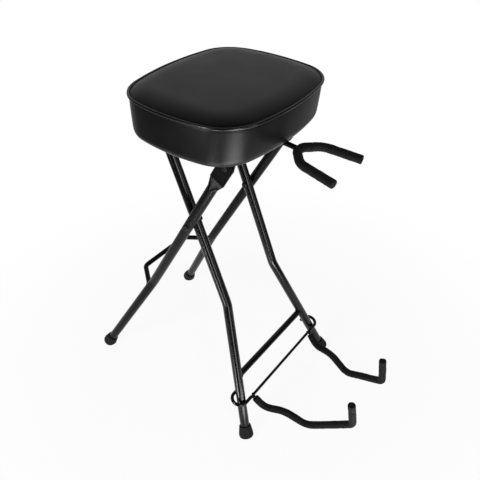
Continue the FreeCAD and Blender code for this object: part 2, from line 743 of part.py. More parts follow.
hinge_bracket_left = make_bracket("hinge_bracket_left")
hinge_bracket_right = mirrored(hinge_bracket_left, "hinge_bracket_right")
pin_left = headed_pin("pin_left", dims.pin_diameter / 2, dims.pin_head / 2, ear_inner,
                      dims.outer_spacing + dims.blade_thickness / 2 + dims.clearance, (pin_x, 0, pin_height))
hinge_pins = grouped("hinge_pins", [pin_left, mirrored(pin_left, "pin_right")])


# Catches that drop over the hoop's bar: a strip under the board, curled down behind the bar.
def make_catch(label):
    body = new_body(label, (bar_x, 0, bar_height))
    sketch = new_sketch(body, "curl", "XZ_Plane", dims.catch_y - dims.catch_width / 2)
    inside = catch_radius
    outside = catch_radius + dims.strip
    end_angle = math.radians(90 + float(dims.catch_wrap))
    points = {}
    for name, radius in (("inside", float(inside)), ("outside", float(outside))):
        points[name] = (Vector(float(dims.catch_tab), radius, 0), Vector(0, radius, 0),
                        Vector(radius * math.cos(end_angle), radius * math.sin(end_angle), 0))
    lower = sketch.addGeometry(Part.LineSegment(points["inside"][0], points["inside"][1]))
    circles = [Part.Circle(Vector(0, 0, 0), Vector(0, 0, 1), float(radius)) for radius in (inside, outside)]
    curl_in = sketch.addGeometry(Part.ArcOfCircle(circles[0], math.pi / 2, end_angle))
    lip = sketch.addGeometry(Part.LineSegment(points["inside"][2], points["outside"][2]))
    curl_out = sketch.addGeometry(Part.ArcOfCircle(circles[1], math.pi / 2, end_angle))
    upper = sketch.addGeometry(Part.LineSegment(points["outside"][1], points["outside"][0]))
    edge = sketch.addGeometry(Part.LineSegment(points["outside"][0], points["inside"][0]))
    for first, second in (((lower, 2), (curl_in, 1)), ((curl_in, 2), (lip, 1)), ((lip, 2), (curl_out, 2)),
                          ((curl_out, 1), (upper, 1)), ((upper, 2), (edge, 1)), ((edge, 2), (lower, 1))):
        constrain(sketch, "Coincident", *first, *second)
    for curl, radius in ((curl_in, inside), (curl_out, outside)):
        constrain(sketch, "Coincident", curl, 3, -1, 1)
        constrain_size(sketch, radius, "Radius", curl)
        constrain(sketch, "PointOnObject", curl, 1, -2)
    constrain(sketch, "Horizontal", lower)
    constrain(sketch, "Horizontal", upper)
    constrain(sketch, "Vertical", edge)
    constrain_size(sketch, dims.catch_tab, "DistanceX", -1, 1, edge, 1)
    constrain(sketch, "PointOnObject", -1, 1, lip)
    constrain_size(sketch, inside * Size(math.sin(end_angle), f"sin(90 + {dims.catch_wrap.text})"),
                   "DistanceY", -1, 1, curl_in, 2)
    add_pad(body, sketch, dims.catch_width)
    holes = new_sketch(body, "catch_holes", "XY_Plane", inside)
    for end in (-1, 1):
        add_circle(holes, dims.screw_diameter / 2,
                   (catch_screw_x - bar_x, -(dims.catch_y + end * catch_screw_y)))
    drill(body, holes)
    return body


bar_catch_left = make_catch("bar_catch_left")
bar_catch_right = mirrored(bar_catch_left, "bar_catch_right")

# Neck yoke: a stem clipped under the board and a forked rod with foam sleeves, all drooping a little.
fork_base = (fork_x, 0, fork_height)
prong = ((dims.shoulder_reach, dims.shoulder_half), (dims.prong_reach, dims.prong_half))
yoke_fork = new_body("yoke_fork", fork_base, dims.stem_droop)
add_pipe(yoke_fork, "XY_Plane",
         ((prong[1][0], -prong[1][1]), (prong[0][0], -prong[0][1]), (0, -dims.fork_nose), (0, dims.fork_nose),
          prong[0], prong[1]),
         {1: dims.fork_bend, 2: dims.fork_bend / 2, 3: dims.fork_bend / 2, 4: dims.fork_bend},
         dims.fork_diameter)

stem_blank = new_body("stem_blank", (fork_x, 0, stem_height))
add_pipe(stem_blank, "XZ_Plane",
         ((-dims.stem_length, 0), (-dims.droop_start, 0), (0, fork_height - stem_height)),
         {1: dims.droop_start / 2}, dims.stem_diameter)
yoke_stem = cut_away(stem_blank, [yoke_fork], "yoke_stem")


def make_yoke_sleeve(label):
    body = new_body(label, fork_base, dims.stem_droop)
    bare = dims.sleeve_start
    start = (dims.shoulder_reach * bare, -(dims.fork_nose + (dims.shoulder_half - dims.fork_nose) * bare))
    add_pipe(body, "XY_Plane", (start, (prong[0][0], -prong[0][1]), (prong[1][0], -prong[1][1])),
             {1: dims.fork_bend}, dims.yoke_sleeve, dims.fork_diameter)
    return body


yoke_sleeve_left = make_yoke_sleeve("yoke_sleeve_left")
yoke_sleeve_right = mirrored(yoke_sleeve_left, "yoke_sleeve_right")


def make_clip(label, place):
    # A saddle strap: a flat strip screwed to the board, raised over the stem.
    body = new_body(label, (place, 0, stem_height))
    sketch = new_sketch(body, label + "_strap", "YZ_Plane")
    top = board_bottom - stem_height
    half = dims.clip_half
    inside = dims.stem_diameter / 2 + dims.running_fit
    outside = inside + dims.strip
    add_outline(sketch, ((-half, top), (-half, top - dims.strip), (-outside, top - dims.strip),
                         (-outside, -outside), (outside, -outside), (outside, top - dims.strip),
                         (half, top - dims.strip), (half, top), (inside, top), (inside, -inside),
                         (-inside, -inside), (-inside, top)),
                {3: inside, 4: inside, 9: inside - dims.strip, 10: inside - dims.strip}, True)
    add_pad(body, sketch, dims.clip_width, symmetric=True)
    holes = new_sketch(body, label + "_holes", "XY_Plane", top)
    for side in (-1, 1):
        add_circle(holes, dims.screw_diameter / 2, (0, side * clip_screw_y))
    drill(body, holes)
    return body


clips = [make_clip(f"clip_{number}", place) for number, place in enumerate(clip_places)]
yoke_clips = grouped("yoke_clips", clips)

# Cradle: each arm's rod hooks round its leg from behind, crosses in front of it and runs out to the tip.
lean_angle = math.radians(float(dims.inner_lean))
leg_up = Vector(-math.sin(lean_angle), 0, math.cos(lean_angle))
leg_front = Vector(math.cos(lean_angle), 0, math.sin(lean_angle))
rod_offset = float(tube_radius + dims.arm_rod / 2 + dims.clearance)
hook_radius = rod_offset / math.sin(math.radians(float(dims.hook_angle)))
hook_rise = 2 * hook_radius * math.cos(math.radians(float(dims.hook_angle)))
leg_x = float(dims.pivot_x + (dims.pivot_height - dims.hook_height) * tangent(dims.inner_lean))
leg_point = Vector(leg_x, 0, float(dims.hook_height))
hook_front = leg_point + leg_front * rod_offset
hook_back = leg_point - leg_front * rod_offset + leg_up * hook_rise
hook_drop = float(dims.pivot_height - dims.hook_height) / math.cos(lean_angle) - hook_rise / 2
splay_angle = math.radians(float(inner_splay))
leg_y = float(inner_spacing) + (hook_drop - float(dims.inner_bend)) * math.tan(splay_angle)
leg_side = leg_y + float(tube_radius) / math.cos(splay_angle)
hook_side = leg_side + float(dims.hook_gap + dims.arm_rod / 2)
tail_y = hook_side - hook_radius - float(dims.hook_tail)
toe_in = math.tan(math.radians(float(dims.arm_toe_in)))


def arm_place(reach, rise):
    return Vector(hook_front.x + float(reach), toe_in * float(reach) - float(dims.arm_root),
                  hook_front.z + float(rise))


arm_corners = [arm_place(0, 0), arm_place(dims.dip_reach, -dims.dip_drop),
               arm_place(dims.crest_reach, -dims.crest_drop), arm_place(dims.bow_reach, -dims.bow_drop),
               arm_place(dims.corner_reach, dims.corner_rise), arm_place(dims.tip_reach, dims.tip_rise)]
hook_corners = [Vector(hook_back.x, -tail_y, hook_back.z), Vector(hook_back.x, -hook_side, hook_back.z),
                Vector(hook_front.x, -hook_side, hook_front.z)]
root_bend = float(dims.root_bend)
arm_bend = float(dims.arm_bend)
arm_radii = [root_bend, arm_bend, float(dims.crest_bend), arm_bend, float(dims.tip_bend)]
hook_bend = hook_radius - float(dims.running_fit)


def bent_wire(points, radii):
    # Straight runs through the points, with a tangent arc at each inner one.
    edges = []
    start = points[0]
    for index, radius in enumerate(radii, start=1):
        first, middle, last, centre = corner_arc_of(points, index, radius)
        edges.append(Part.LineSegment(start, first).toShape())
        edges.append(Part.Arc(first, middle, last).toShape())
        start = last
    edges.append(Part.LineSegment(start, points[-1]).toShape())
    return Part.Wire(edges)


def swept(wire, diameter):
    start = wire.Edges[0].Vertexes[0].Point
    heading = wire.Edges[0].tangentAt(wire.Edges[0].FirstParameter)
    section = Part.Wire([Part.makeCircle(diameter / 2, start, heading)])
    return wire.makePipeShell([section], True, False)


arm_path = bent_wire(hook_corners + arm_corners, [hook_bend, hook_bend] + arm_radii)
arm_shape = swept(arm_path, float(dims.arm_rod))
cradle_arm_left = shaped("cradle_arm_left", arm_shape)
cradle_arm_right = mirrored(cradle_arm_left, "cradle_arm_right")


def make_arm_sleeve(label):
    # From just past the root bend to a rounded end beyond the rod's tip.
    first, middle, start, centre = corner_arc_of([hook_corners[-1]] + arm_corners, 1, root_bend)
    diameter = float(dims.arm_sleeve)
    heading = (arm_corners[-1] - arm_corners[-2]).normalize()
    end = arm_corners[-1] + heading * float(dims.clearance)
    path = bent_wire([start] + arm_corners[1:-1] + [end], arm_radii[1:])
    outer = swept(path, diameter).fuse(Part.makeSphere(diameter / 2, end))
    return shaped(label, outer.cut(arm_shape).removeSplitter())


cradle_sleeve_left = make_arm_sleeve("cradle_sleeve_left")
cradle_sleeve_right = mirrored(cradle_sleeve_left, "cradle_sleeve_right")
cross_blank = doc.addObject("Part::Cylinder", "cross_blank")
bind(cross_blank, "Radius", dims.cross_rod / 2)
bind(cross_blank, "Height", 2 * dims.arm_root)
cross_blank.Placement = Placement(Vector(hook_front.x, float(dims.arm_root), hook_front.z),
                                  Rotation(Vector(1, 0, 0), 90))
cradle_cross_rod = cut_away(cross_blank, [cradle_arm_left, cradle_arm_right], "cradle_cross_rod")

nodes = (
    outer_leg_left, outer_leg_right, footrest_bar, outer_foot_left, outer_foot_right, scissor_rivets,
    scissor_washers, inner_leg_hoop, inner_brace, inner_foot_left, inner_foot_right, seat_board, seat_foam,
    seat_top_panel, seat_side_band, seat_welt, seat_screws, hinge_bracket_left, hinge_bracket_right,
    hinge_pins, bar_catch_left, bar_catch_right, yoke_stem, yoke_fork, yoke_sleeve_left, yoke_sleeve_right,
    yoke_clips, cradle_arm_left, cradle_arm_right, cradle_sleeve_left, cradle_sleeve_right, cradle_cross_rod,
)
doc.recompute()

for item in doc.Objects:
    if "Invalid" in item.State or "Error" in item.State:
        raise RuntimeError(f"{item.Label} did not build: {item.State}")
for node in nodes:
    if node.Shape.isNull() or not node.Shape.isValid():
        raise RuntimeError(f"{node.Label} has no valid shape")

os.makedirs("parts", exist_ok=True)
whole = FreeCAD.BoundBox()
for node in nodes:
    node.Shape.exportStep(f"parts/{node.Label}.step")
    whole.add(node.Shape.optimalBoundingBox())
    print(f"{node.Label}: {len(node.Shape.Solids)} solid(s), {node.Shape.Volume / 1000:.1f} cm3")
print("low corner", round(whole.XMin, 2), round(whole.YMin, 2), round(whole.ZMin, 2))
print("high corner", round(whole.XMax, 2), round(whole.YMax, 2), round(whole.ZMax, 2))
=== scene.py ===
import bmesh
import bpy
import math
from mathutils import Matrix, Vector, noise


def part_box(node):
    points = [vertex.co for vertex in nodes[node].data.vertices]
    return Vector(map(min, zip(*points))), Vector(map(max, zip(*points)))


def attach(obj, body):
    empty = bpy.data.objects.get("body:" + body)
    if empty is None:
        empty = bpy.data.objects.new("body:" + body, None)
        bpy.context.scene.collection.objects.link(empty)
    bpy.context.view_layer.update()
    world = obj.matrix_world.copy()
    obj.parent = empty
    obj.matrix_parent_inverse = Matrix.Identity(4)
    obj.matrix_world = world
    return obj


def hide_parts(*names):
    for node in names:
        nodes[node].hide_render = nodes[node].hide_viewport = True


# Folding guitarist's stool: black enamelled tube, boxed vinyl seat, foam-sleeved yoke and cradle.
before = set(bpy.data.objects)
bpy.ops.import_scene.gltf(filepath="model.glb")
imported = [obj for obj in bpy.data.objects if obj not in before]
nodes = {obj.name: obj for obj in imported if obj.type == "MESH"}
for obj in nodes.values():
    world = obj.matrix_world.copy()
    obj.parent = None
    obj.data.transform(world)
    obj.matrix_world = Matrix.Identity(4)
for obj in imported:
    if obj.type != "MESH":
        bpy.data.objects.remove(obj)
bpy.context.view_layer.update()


def linear(hexColour):
    channels = [int(hexColour[i:i + 2], 16) / 255 for i in (1, 3, 5)]
    return [c / 12.92 if c <= 0.04045 else ((c + 0.055) / 1.055) ** 2.4 for c in channels] + [1.0]


def perMm(size):
    return 1000 / size  # texture scale for a pattern of this size, object coordinates are metres


def addNode(tree, kind, values=None, feeds=None, **settings):
    node = tree.nodes.new(kind)
    for name, value in settings.items():
        setattr(node, name, value)
    for name, value in (values or {}).items():
        node.inputs[name].default_value = value
    for name, source in (feeds or {}).items():
        tree.links.new(source, node.inputs[name])
    return node


def newMaterial(name, colour, sockets):
    material = bpy.data.materials.new(name)
    material.use_nodes = True
    tree = material.node_tree
    shader = tree.nodes["Principled BSDF"]
    shader.inputs["Base Color"].default_value = linear(colour)
    for socket, value in sockets.items():
        shader.inputs[socket].default_value = value
    place = addNode(tree, "ShaderNodeTexCoord").outputs["Object"]
    return material, tree, shader, place


# Stove enamel on steel tube: sprayed and baked, so it flows out glossy,
# with a faint long ripple and a few dull scuffs.
enamelLook = dict(colour="#080809", worn="#0f0f10", peel=34, scuff=38, roughness=(0.16, 0.22), gloss=0.3)


def stoveEnamel(name, look):
    material, tree, shader, place = newMaterial(name, look["colour"],
                                                {"IOR": 1.5, "Specular IOR Level": look["gloss"]})
    scuff = addNode(tree, "ShaderNodeTexNoise",
                    {"Scale": perMm(look["scuff"]), "Detail": 3, "Roughness": 0.5}, {"Vector": place})
    dulled = addNode(tree, "ShaderNodeMapRange",
                     {"From Min": 0.45, "From Max": 0.75, "To Min": look["roughness"][0],
                      "To Max": look["roughness"][1]}, {"Value": scuff.outputs["Fac"]})
    tree.links.new(dulled.outputs["Result"], shader.inputs["Roughness"])
    share = addNode(tree, "ShaderNodeMapRange", {"From Min": 0.5, "From Max": 0.8},
                    {"Value": scuff.outputs["Fac"]})
    tint = addNode(tree, "ShaderNodeMix", {6: linear(look["colour"]), 7: linear(look["worn"])},
                   {0: share.outputs["Result"]}, data_type="RGBA")
    tree.links.new(tint.outputs[2], shader.inputs["Base Color"])
    peel = addNode(tree, "ShaderNodeTexNoise", {"Scale": perMm(look["peel"]), "Detail": 2}, {"Vector": place})
    bump = addNode(tree, "ShaderNodeBump", {"Strength": 0.12, "Distance": 0.0004},
                   {"Height": peel.outputs["Fac"]})
    tree.links.new(bump.outputs["Normal"], shader.inputs["Normal"])
    return material


glossEnamel = stoveEnamel("gloss_stove_enamel", enamelLook)
satinEnamel = stoveEnamel("satin_stove_enamel", dict(enamelLook, colour="#060607", worn="#0c0c0e",
                                                      roughness=(0.28, 0.36), gloss=0.11))

# Blackened steel for rivets, pins and screws: pressed heads, half metal, with rubbed bright spots.
blackened, tree, shader, place = newMaterial("blackened_steel", "#1c1c1d", {"Metallic": 0.85})
rub = addNode(tree, "ShaderNodeTexNoise", {"Scale": perMm(3), "Detail": 5}, {"Vector": place})
tint = addNode(tree, "ShaderNodeMix", {6: linear("#131314"), 7: linear("#2f2f31")}, {0: rub.outputs["Fac"]},
               data_type="RGBA")
tree.links.new(tint.outputs[2], shader.inputs["Base Color"])
dulled = addNode(tree, "ShaderNodeMapRange", {"To Min": 0.28, "To Max": 0.5}, {"Value": rub.outputs["Fac"]})
tree.links.new(dulled.outputs["Result"], shader.inputs["Roughness"])

# Moulded rubber for the foot caps: matt, slightly grey where it has bloomed, fine spark-eroded mould grain.
capRubber, tree, shader, place = newMaterial("moulded_rubber", "#141415",
                                             {"IOR": 1.5, "Specular IOR Level": 0.14})
bloom = addNode(tree, "ShaderNodeTexNoise", {"Scale": perMm(11), "Detail": 4}, {"Vector": place})
tint = addNode(tree, "ShaderNodeMix", {6: linear("#111112"), 7: linear("#1d1d1e")}, {0: bloom.outputs["Fac"]},
               data_type="RGBA")
tree.links.new(tint.outputs[2], shader.inputs["Base Color"])
dulled = addNode(tree, "ShaderNodeMapRange", {"To Min": 0.55, "To Max": 0.75},
                 {"Value": bloom.outputs["Fac"]})
tree.links.new(dulled.outputs["Result"], shader.inputs["Roughness"])
grain = addNode(tree, "ShaderNodeTexNoise", {"Scale": perMm(0.9), "Detail": 3}, {"Vector": place})
bump = addNode(tree, "ShaderNodeBump", {"Strength": 0.35, "Distance": 0.0002},
               {"Height": grain.outputs["Fac"]})
tree.links.new(bump.outputs["Normal"], shader.inputs["Normal"])

# Nitrile foam for the sleeves: skinless cut tube, dead matt with open cells of about a millimetre.
cellFoam, tree, shader, place = newMaterial("nitrile_foam", "#0b0b0c",
                                            {"IOR": 1.45, "Specular IOR Level": 0.14, "Sheen Weight": 0.03,
                                             "Sheen Roughness": 0.5})
cells = addNode(tree, "ShaderNodeTexVoronoi", {"Scale": perMm(1.3)}, {"Vector": place})
soft = addNode(tree, "ShaderNodeTexNoise", {"Scale": perMm(14), "Detail": 4}, {"Vector": place})
tint = addNode(tree, "ShaderNodeMix", {6: linear("#080809"), 7: linear("#101011")}, {0: soft.outputs["Fac"]},
               data_type="RGBA")
tree.links.new(tint.outputs[2], shader.inputs["Base Color"])
dulled = addNode(tree, "ShaderNodeMapRange", {"To Min": 0.62, "To Max": 0.85}, {"Value": soft.outputs["Fac"]})
tree.links.new(dulled.outputs["Result"], shader.inputs["Roughness"])
bump = addNode(tree, "ShaderNodeBump", {"Strength": 0.5, "Distance": 0.00035},
               {"Height": cells.outputs["Distance"]})
tree.links.new(bump.outputs["Normal"], shader.inputs["Normal"])

# Upholstery vinyl: calendered PVC with a fine pressed leather grain, semi-matt, a little shinier in patches.
vinylLook = dict(colour="#0b0b0c", rubbed="#0f0f10", grain=1.6, roughness=(0.32, 0.4), gloss=0.17)


def upholsteryVinyl(name, look):
    material, tree, shader, place = newMaterial(name, look["colour"],
                                                {"IOR": 1.5, "Specular IOR Level": look["gloss"]})
    patches = addNode(tree, "ShaderNodeTexNoise", {"Scale": perMm(60), "Detail": 5}, {"Vector": place})
    dulled = addNode(tree, "ShaderNodeMapRange",
                     {"From Min": 0.3, "From Max": 0.7, "To Min": look["roughness"][0],
                      "To Max": look["roughness"][1]}, {"Value": patches.outputs["Fac"]})
    tree.links.new(dulled.outputs["Result"], shader.inputs["Roughness"])
    tint = addNode(tree, "ShaderNodeMix", {6: linear(look["colour"]), 7: linear(look["rubbed"])},
                   {0: patches.outputs["Fac"]}, data_type="RGBA")
    tree.links.new(tint.outputs[2], shader.inputs["Base Color"])
    pebbles = addNode(tree, "ShaderNodeTexVoronoi", {"Scale": perMm(look["grain"])}, {"Vector": place},
                      feature="SMOOTH_F1")
    creases = addNode(tree, "ShaderNodeTexNoise", {"Scale": perMm(0.7), "Detail": 3}, {"Vector": place})
    grain = addNode(tree, "ShaderNodeMath", {1: 0.4}, operation="MULTIPLY_ADD",
                    feeds={0: creases.outputs["Fac"], 2: pebbles.outputs["Distance"]})
    bump = addNode(tree, "ShaderNodeBump", {"Strength": 0.22, "Distance": 0.0003},
                   {"Height": grain.outputs["Value"]})
    tree.links.new(bump.outputs["Normal"], shader.inputs["Normal"])
    return material


seatVinyl = upholsteryVinyl("upholstery_vinyl", vinylLook)
weltVinyl = upholsteryVinyl("welt_vinyl", dict(vinylLook, colour="#08080a", rubbed="#0c0c0d",
                                               roughness=(0.22, 0.3), gloss=0.4))

# Birch plywood under the seat: rotary-cut veneer with long soft figure.
birchPly, tree, shader, place = newMaterial("birch_plywood", "#b58c5a", {"Roughness": 0.62})
stretch = addNode(tree, "ShaderNodeMapping", {"Scale": (1.0, 0.06, 1.0)}, {"Vector": place})
figure = addNode(tree, "ShaderNodeTexNoise", {"Scale": perMm(7), "Detail": 6, "Distortion": 1.2},
                 {"Vector": stretch.outputs["Vector"]})
tint = addNode(tree, "ShaderNodeMix", {6: linear("#9a7344"), 7: linear("#c9a878")},
               {0: figure.outputs["Fac"]}, data_type="RGBA")
tree.links.new(tint.outputs[2], shader.inputs["Base Color"])
bump = addNode(tree, "ShaderNodeBump", {"Strength": 0.2, "Distance": 0.0003},
               {"Height": figure.outputs["Fac"]})
tree.links.new(bump.outputs["Normal"], shader.inputs["Normal"])

# Galvanised wire for the staples: bright with spangled dull patches.
galvanised, tree, shader, place = newMaterial("galvanised_wire", "#b9bcc0", {"Metallic": 1.0})
spangle = addNode(tree, "ShaderNodeTexNoise", {"Scale": perMm(1.5), "Detail": 3}, {"Vector": place})
dulled = addNode(tree, "ShaderNodeMapRange", {"To Min": 0.25, "To Max": 0.5},
                 {"Value": spangle.outputs["Fac"]})
tree.links.new(dulled.outputs["Result"], shader.inputs["Roughness"])
print("materials made")

finishes = {
    glossEnamel: ("inner_leg_hoop", "inner_brace", "cradle_arm_left", "cradle_arm_right", "cradle_cross_rod"),
    satinEnamel: ("outer_leg_left", "outer_leg_right", "footrest_bar", "yoke_stem", "yoke_fork", "yoke_clips",
                  "hinge_bracket_left", "hinge_bracket_right", "bar_catch_left", "bar_catch_right"),
    blackened: ("scissor_rivets", "scissor_washers", "hinge_pins", "seat_screws"),
    capRubber: ("outer_foot_left", "outer_foot_right", "inner_foot_left", "inner_foot_right"),
    birchPly: ("seat_board",),
}
for material, names in finishes.items():
    for name in names:
        nodes[name].data.materials.clear()
        nodes[name].data.materials.append(material)


def newPiece(name, bm, material, body, smooth=True):
    mesh = bpy.data.meshes.new(name)
    bm.to_mesh(mesh)
    bm.free()
    mesh.materials.append(material)
    for face in mesh.polygons:
        face.use_smooth = smooth
    piece = bpy.data.objects.new(name, mesh)
    bpy.context.collection.objects.link(piece)
    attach(piece, body)
    return piece


def makeActive(piece):
    for other in bpy.context.selected_objects:
        other.select_set(False)
    piece.select_set(True)
    bpy.context.view_layer.objects.active = piece


# The seat's outline: eight arcs, met in turn by spinning a section about each arc's centre.
seat = dict(length=0.266, width=0.299, endArc=0.42, sideArc=0.38, cornerArc=0.072, taper=0.009,
            barTaper=0.003, base=0.6135, seam=0.68, crown=0.0085, shoulder=0.042, ease=2.5, bulge=0.0014,
            edgeRise=0.0012, edgeRoll=0.002, roll=0.006, rollHeight=0.011, hem=0.018, hemTurn=0.0016,
            hemStep=0.004, belly=0.0009, sideStop=0.003, lip=0.0036, lipRise=0.0004, topStart=0.0015,
            spacing=0.005)
seatLow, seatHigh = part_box("seat_side_band")
seatMiddle = Vector(((seatLow[0] + seatHigh[0]) / 2, 0, 0))
endCentre = Vector((seat["length"] / 2 - seat["endArc"], 0, 0))
sideCentre = Vector((0, seat["width"] / 2 - seat["sideArc"], 0))
endReach = seat["endArc"] - seat["cornerArc"]
sideReach = seat["sideArc"] - seat["cornerArc"]
apart = sideCentre - endCentre
along = (endReach ** 2 - sideReach ** 2 + apart.length_squared) / (2 * apart.length)
away = math.sqrt(endReach ** 2 - along ** 2)
heading = apart.normalized()
cornerCentre = endCentre + heading * along + Vector((-heading.y, heading.x, 0)) * away
if cornerCentre.x < 0 or cornerCentre.y < 0:
    cornerCentre = endCentre + heading * along - Vector((-heading.y, heading.x, 0)) * away
endTurn = math.atan2(cornerCentre.y, cornerCentre.x - endCentre.x)
sideTurn = math.atan2(cornerCentre.x, cornerCentre.y - sideCentre.y)
cornerTurn = math.pi / 2 - endTurn - sideTurn
flipX = Vector((-1, 1, 1))
flipY = Vector((1, -1, 1))
outlineArcs = [(endCentre, endTurn, seat["endArc"]), (cornerCentre, cornerTurn, seat["cornerArc"]),
               (sideCentre, 2 * sideTurn, seat["sideArc"]),
               (cornerCentre * flipX, cornerTurn, seat["cornerArc"]),
               (endCentre * flipX, 2 * endTurn, seat["endArc"]),
               (cornerCentre * flipX * flipY, cornerTurn, seat["cornerArc"]),
               (sideCentre * flipY, 2 * sideTurn, seat["sideArc"]),
               (cornerCentre * flipY, cornerTurn, seat["cornerArc"]), (endCentre, endTurn, seat["endArc"])]


def spinRound(bm, section, spacing):
    # carries the section round the outline, one arc after another
    last = section
    for centre, turn, radius in outlineArcs:
        steps = 2 * max(1, round(radius * turn / spacing / 2))
        spun = bmesh.ops.spin(bm, geom=last, cent=seatMiddle + centre, axis=(0, 0, 1), angle=turn,
                              steps=steps, use_duplicate=False)
        last = spun["geom_last"]
    bmesh.ops.remove_doubles(bm, verts=bm.verts, dist=0.0002)
    bmesh.ops.recalc_face_normals(bm, faces=bm.faces)


def sectionChain(bm, points, closed=False):
    verts = [bm.verts.new(seatMiddle + Vector((seat["length"] / 2 - inset, 0, z))) for inset, z in points]
    edges = [bm.edges.new(pair) for pair in zip(verts, verts[1:])]
    if closed:
        edges.append(bm.edges.new((verts[-1], verts[0])))
    return verts + edges


def leanIn(x, share):
    # the ends lean in towards the underside, the one over the bar only a little
    taper = seat["taper"] if x > seatMiddle.x else seat["barTaper"]
    return seatMiddle.x + (x - seatMiddle.x) * (1 - 2 * taper / seat["length"] * share)


def crownAt(inset):
    # a tight lip over the welt, then a soft shoulder up to the flat middle
    rolled = 1 - math.exp(-inset / seat["edgeRoll"])
    fall = max(0, 1 - inset / seat["shoulder"]) ** seat["ease"]
    return seat["edgeRise"] * rolled + seat["crown"] * (1 - fall)


# Seat cover: hem, rolled edge, side, pinched seam and crowned top as one skin.
coverPoints = [(seat["hem"], seat["base"] + seat["hemTurn"])]
coverPoints += [(seat["hem"] - seat["hemStep"] * step, seat["base"]) for step in range(3)]
for step in range(5):
    swing = math.radians(90 * step / 4)
    coverPoints.append((seat["roll"] * (1 - math.sin(swing)),
                        seat["base"] + seat["rollHeight"] * (1 - math.cos(swing))))
sideTop = seat["seam"] - seat["sideStop"]
sideBase = seat["base"] + seat["rollHeight"]
coverPoints += [(seat["belly"] * (step / 10) ** 2, sideBase + (sideTop - sideBase) * step / 10)
                for step in range(1, 11)]
# the seam is pinched in under the welt
seamPinch = ((0.0024, -0.0012), (0.0038, 0), (seat["lip"], 0.0012))
coverPoints += [(inset, seat["seam"] + rise) for inset, rise in seamPinch]
# rings of the top panel, close together over the lip and wider towards the middle
topRings = (0.0044, 0.0056, 0.0072, 0.0092, 0.0118, 0.015, 0.019, 0.0235, 0.0285, 0.034, 0.04, 0.046, 0.052,
            0.058)
coverPoints += [(inset, seat["seam"] + seat["lipRise"] + crownAt(inset - seat["lip"])) for inset in topRings]
bm = bmesh.new()
spinRound(bm, sectionChain(bm, coverPoints), seat["spacing"])
topLoop = [edge for edge in bm.edges if edge.is_boundary and edge.verts[0].co.z > seat["seam"]]
topCount = len(topLoop)
bottomLoop = [edge for edge in bm.edges if edge.is_boundary and edge not in topLoop]
bmesh.ops.contextual_create(bm, geom=bottomLoop)
for vert in bm.verts:
    vert.co.x = leanIn(vert.co.x, 1 - min(1, (vert.co.z - seat["base"]) / (seat["seam"] - seat["base"])))
cover = newPiece("seat_cover", bm, seatVinyl, "seat")
# the middle of the top is closed with an even grid, so no pole shows in the gloss
makeActive(cover)
bpy.ops.object.mode_set(mode="EDIT")
bpy.ops.mesh.select_mode(type="EDGE")
bpy.ops.mesh.select_all(action="DESELECT")
bpy.ops.mesh.select_non_manifold()
bpy.ops.mesh.fill_grid(span=topCount // 4)
bpy.ops.mesh.select_all(action="SELECT")
bpy.ops.mesh.normals_make_consistent(inside=False)
bpy.ops.mesh.faces_shade_smooth()
bpy.ops.object.mode_set(mode="OBJECT")

# The cover swells over its foam between the seam and the hem, which are held.
swell = dict(pressure=4.0, tension=40, bending=4, cap=0.0032, frames=20, ease=30, sewnHem=0.004,
             sewnSeam=0.0016)
held = cover.vertex_groups.new(name="sewn")
for vert in cover.data.vertices:
    nearSeam = abs(vert.co.z - seat["seam"]) < swell["sewnSeam"]
    if vert.co.z < seat["base"] + swell["sewnHem"] or nearSeam:
        held.add([vert.index], 1.0, "REPLACE")
start = [vert.co.copy() for vert in cover.data.vertices]
cloth = cover.modifiers.new("swell", "CLOTH")
cloth.settings.use_pressure = True
cloth.settings.uniform_pressure_force = swell["pressure"]
cloth.settings.effector_weights.gravity = 0
cloth.settings.vertex_group_mass = "sewn"
cloth.settings.tension_stiffness = swell["tension"]
cloth.settings.bending_stiffness = swell["bending"]
cloth.point_cache.frame_start = 1
cloth.point_cache.frame_end = swell["frames"]
scene = bpy.context.scene
for number in range(1, swell["frames"] + 1):
    scene.frame_set(number)
swollen = cover.evaluated_get(bpy.context.evaluated_depsgraph_get()).to_mesh()
moved = [after.co - before for after, before in zip(swollen.vertices, start)]
cover.modifiers.remove(cloth)
print("seat swell", round(max(move.length for move in moved) * 1000, 2), "mm before the cap")
for move in moved:
    reach = move.length
    if reach > 0:
        move *= swell["cap"] * math.tanh(reach / swell["cap"]) / reach
bm = bmesh.new()
bm.from_mesh(cover.data)
bm.verts.ensure_lookup_table()
around = [[edge.other_vert(vert).index for edge in vert.link_edges] for vert in bm.verts]
bm.free()
fixed = [bool(vert.groups) for vert in cover.data.vertices]
for turn in range(swell["ease"]):
    # the foam under the vinyl evens out small ripples
    moved = [move if stays else sum((moved[near] for near in close), move) / (len(close) + 1)
             for move, stays, close in zip(moved, fixed, around)]
for vert, before, move in zip(cover.data.vertices, start, moved):
    # the top panel is drawn tight over the shoulder, so only the side band takes the swell
    if before.z < seat["seam"]:
        vert.co = before + move
scene.frame_set(1)
for vert in cover.data.vertices:
    if vert.co.z > seat["seam"] + seat["topStart"]:
        out = vert.co - seatMiddle
        full = max(0, 1 - (2 * out.x / seat["length"]) ** 2 - (2 * out.y / seat["width"]) ** 2)
        vert.co.z += seat["bulge"] * full ** 2
finer = cover.modifiers.new("finer", "SUBSURF")
finer.levels = finer.render_levels = 1
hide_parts("seat_top_panel", "seat_side_band", "seat_foam")
print("seat cover made")

